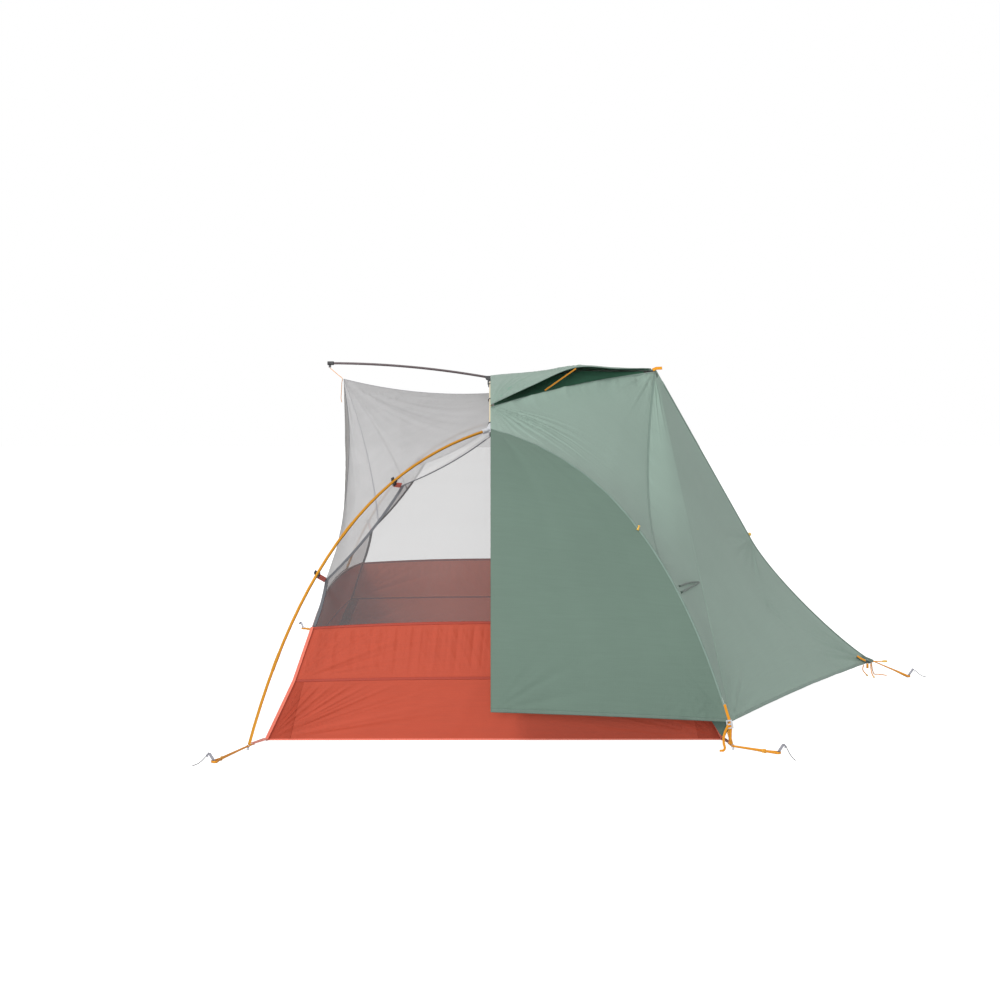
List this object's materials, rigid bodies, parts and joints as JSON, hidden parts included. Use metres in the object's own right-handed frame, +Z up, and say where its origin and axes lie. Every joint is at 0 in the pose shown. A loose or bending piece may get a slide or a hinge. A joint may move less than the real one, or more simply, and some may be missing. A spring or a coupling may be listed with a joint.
{
  "type": "lightweight tent",
  "caption": "Pitched backpacking tent as a cutaway: mesh inner with a tub floor on hubbed poles, and a fly with vent and vestibule over its right half, staked out.",
  "frame": {"origin": "centre of the tub floor's underside, on the ground", "axes": "+Z up, +Y from the end in the picture towards the far end, +X towards the side with the fly and its vestibule"},
  "size_m": [2.3135, 2.9706, 1.1873],
  "materials": {
    "pole_gold": "gold anodised, satin",
    "pole_dark": "dark anodised, satin",
    "hub_pale": "pale grey, moulded",
    "plastic_black": "moulded",
    "tub_nylon": "coated ripstop",
    "mesh": "fine mesh",
    "fly_nylon": "coated ripstop",
    "fly_end_nylon": "coated ripstop",
    "webbing": "woven webbing and cord",
    "stake_aluminium": "bright anodised",
    "cord_grey": "thin braided cord"
  },
  "bodies": {
    "tent": {"leg_front_left": "pole_gold", "leg_front_right": "pole_gold", "leg_rear_left": "pole_gold", "leg_rear_right": "pole_gold", "ridge_pole": "pole_gold", "hub_front": "hub_pale", "hub_rear": "hub_pale", "swivel_hub": "plastic_black", "swivel_cap": "plastic_black", "spreader_pole": "pole_dark", "tip_cap_left": "plastic_black", "tip_cap_right": "plastic_black", "clip_lower_front_left": "plastic_black", "clip_lower_front_right": "plastic_black", "clip_lower_rear_left": "plastic_black", "clip_lower_rear_right": "plastic_black", "clip_upper_front_left": "plastic_black", "clip_upper_front_right": "plastic_black", "clip_upper_rear_left": "plastic_black", "clip_upper_rear_right": "plastic_black", "tub_floor": "tub_nylon", "tub_wall_front": "tub_nylon", "tub_wall_rear": "tub_nylon", "tub_wall_left": "tub_nylon", "tub_wall_right": "tub_nylon", "canopy_front_left": "mesh", "canopy_front_right": "mesh", "canopy_rear_left": "mesh", "canopy_rear_right": "mesh", "canopy_end_front": "mesh", "canopy_end_rear": "mesh", "fly_end_front": "fly_end_nylon", "fly_end_rear": "fly_end_nylon", "fly_side_front": "fly_nylon", "fly_side_rear": "fly_nylon", "vestibule_rear": "fly_nylon", "vent_hood": "fly_nylon", "corner_strap_front_left": "webbing", "corner_strap_front_right": "webbing", "corner_strap_rear_left": "webbing", "corner_strap_rear_right": "webbing", "vestibule_strap": "webbing", "fly_strap_front": "webbing", "fly_strap_rear": "webbing", "buckle_front": "hub_pale", "buckle_rear": "hub_pale", "tip_cord_left": "webbing"},
    "vestibule_door": {"vestibule_door": "fly_nylon"},
    "inner_door_left": {"inner_door_left": "mesh"},
    "inner_door_right": {"inner_door_right": "mesh"},
    "vent_strut": {"vent_strut": "webbing"},
    "zip_slider": {"zip_slider": "webbing"},
    "stake_front_left": {"stake_front_left": "stake_aluminium", "pull_cord_front_left": "cord_grey"},
    "stake_front_right": {"stake_front_right": "stake_aluminium", "pull_cord_front_right": "cord_grey"},
    "stake_rear_left": {"stake_rear_left": "stake_aluminium"},
    "stake_rear_right": {"stake_rear_right": "stake_aluminium"},
    "stake_vestibule": {"stake_vestibule": "stake_aluminium", "pull_cord_vestibule": "cord_grey"}
  },
  "joints": [
    {"name": "vestibule_door_swing", "type": "hinge", "parent": "tent", "child": "vestibule_door", "pos_m": [0.56, -0.01, 1.046], "axis": [0.063, -0.7912, -0.6083], "range_deg": [0, 90]},
    {"name": "inner_door_left_swing", "type": "hinge", "parent": "tent", "child": "inner_door_left", "pos_m": [-0.52377, 0.56, 0.33622], "axis": [-0.03, 0.6278, -0.7778], "range_deg": [0, 100]},
    {"name": "inner_door_right_swing", "type": "hinge", "parent": "tent", "child": "inner_door_right", "pos_m": [0.52377, 0.56, 0.33622], "axis": [0.0304, 0.6367, -0.7706], "range_deg": [0, 40]},
    {"name": "vent_strut_fold", "type": "hinge", "parent": "tent", "child": "vent_strut", "pos_m": [0.17325, -0.39286, 0.99031], "axis": [-0.6882, 0.5679, 0.4515], "range_deg": [0, 20]},
    {"name": "zip_slider_slide", "type": "slide", "parent": "tent", "child": "zip_slider", "axis": [-0.4952, -0.0011, 0.8688], "range_m": [0, 0.3]},
    {"name": "stake_front_left_pull", "type": "slide", "parent": "tent", "child": "stake_front_left", "axis": [-0.388, -0.4224, 0.8192], "range_m": [0, 0.12]},
    {"name": "stake_front_right_pull", "type": "slide", "parent": "tent", "child": "stake_front_right", "axis": [0.4187, -0.3921, 0.8192], "range_m": [0, 0.12]},
    {"name": "stake_rear_left_pull", "type": "slide", "parent": "tent", "child": "stake_rear_left", "axis": [-0.4015, 0.4096, 0.8192], "range_m": [0, 0.12]},
    {"name": "stake_rear_right_pull", "type": "slide", "parent": "tent", "child": "stake_rear_right", "axis": [0.4187, 0.3921, 0.8192], "range_m": [0, 0.12]},
    {"name": "stake_vestibule_pull", "type": "slide", "parent": "tent", "child": "stake_vestibule", "axis": [0.5733, 0.0175, 0.8192], "range_m": [0, 0.12]}
  ]
}
